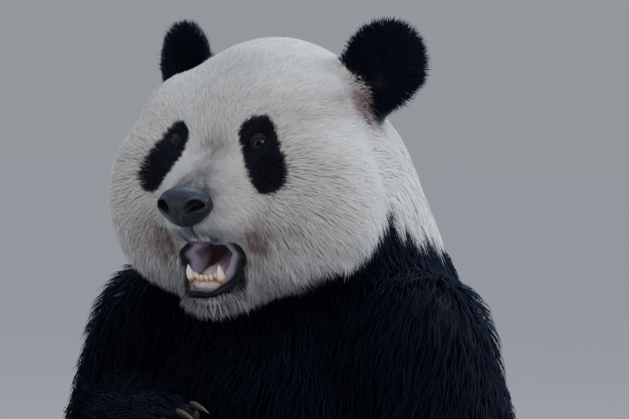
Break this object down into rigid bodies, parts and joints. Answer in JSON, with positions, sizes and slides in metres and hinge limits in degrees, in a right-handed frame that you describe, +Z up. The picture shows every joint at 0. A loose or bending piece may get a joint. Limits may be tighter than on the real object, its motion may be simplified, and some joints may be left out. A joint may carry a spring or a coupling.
{
  "type": "giant panda",
  "caption": "Life-size giant panda sitting upright, mouth open, forepaws held before its chest; white coat with black ears, eye patches, legs and shoulder band.",
  "frame": {"origin": "on the floor, below the centre of the model's box", "axes": "+X to the animal's left, -Y the way it faces, +Z up"},
  "size_m": [0.769, 0.8818, 0.9899],
  "materials": {
    "coat_white": "dense cream-white fur",
    "coat_black": "dense blue-black fur",
    "nose_leather": "moist dark pad",
    "eye": "wet dark eye",
    "claw": "dark horn",
    "gum": "wet gum with ivory teeth",
    "tongue": "wet lilac-pink tongue"
  },
  "bodies": {
    "root": {"head": "coat_white", "lower_jaw": "coat_white", "neck": "coat_white", "abdomen": "coat_white", "tail": "coat_white", "chest": "coat_black", "ear_left": "coat_black", "ear_right": "coat_black", "upper_arm_left": "coat_black", "forearm_left": "coat_black", "forepaw_left": "coat_black", "thigh_left": "coat_black", "shank_left": "coat_black", "hindpaw_left": "coat_black", "upper_arm_right": "coat_black", "forearm_right": "coat_black", "forepaw_right": "coat_black", "thigh_right": "coat_black", "shank_right": "coat_black", "hindpaw_right": "coat_black", "claw_forepaw_left_1": "claw", "claw_forepaw_left_2": "claw", "claw_forepaw_left_3": "claw", "claw_forepaw_left_4": "claw", "claw_forepaw_left_5": "claw", "claw_forepaw_right_1": "claw", "claw_forepaw_right_2": "claw", "claw_forepaw_right_3": "claw", "claw_forepaw_right_4": "claw", "claw_forepaw_right_5": "claw", "claw_hindpaw_left_1": "claw", "claw_hindpaw_left_2": "claw", "claw_hindpaw_left_3": "claw", "claw_hindpaw_left_4": "claw", "claw_hindpaw_left_5": "claw", "claw_hindpaw_right_1": "claw", "claw_hindpaw_right_2": "claw", "claw_hindpaw_right_3": "claw", "claw_hindpaw_right_4": "claw", "claw_hindpaw_right_5": "claw", "eye_left": "eye", "eye_right": "eye", "nose": "nose_leather", "upper_teeth": "gum", "lower_teeth": "gum", "tongue": "tongue"}
  },
  "joints": []
}
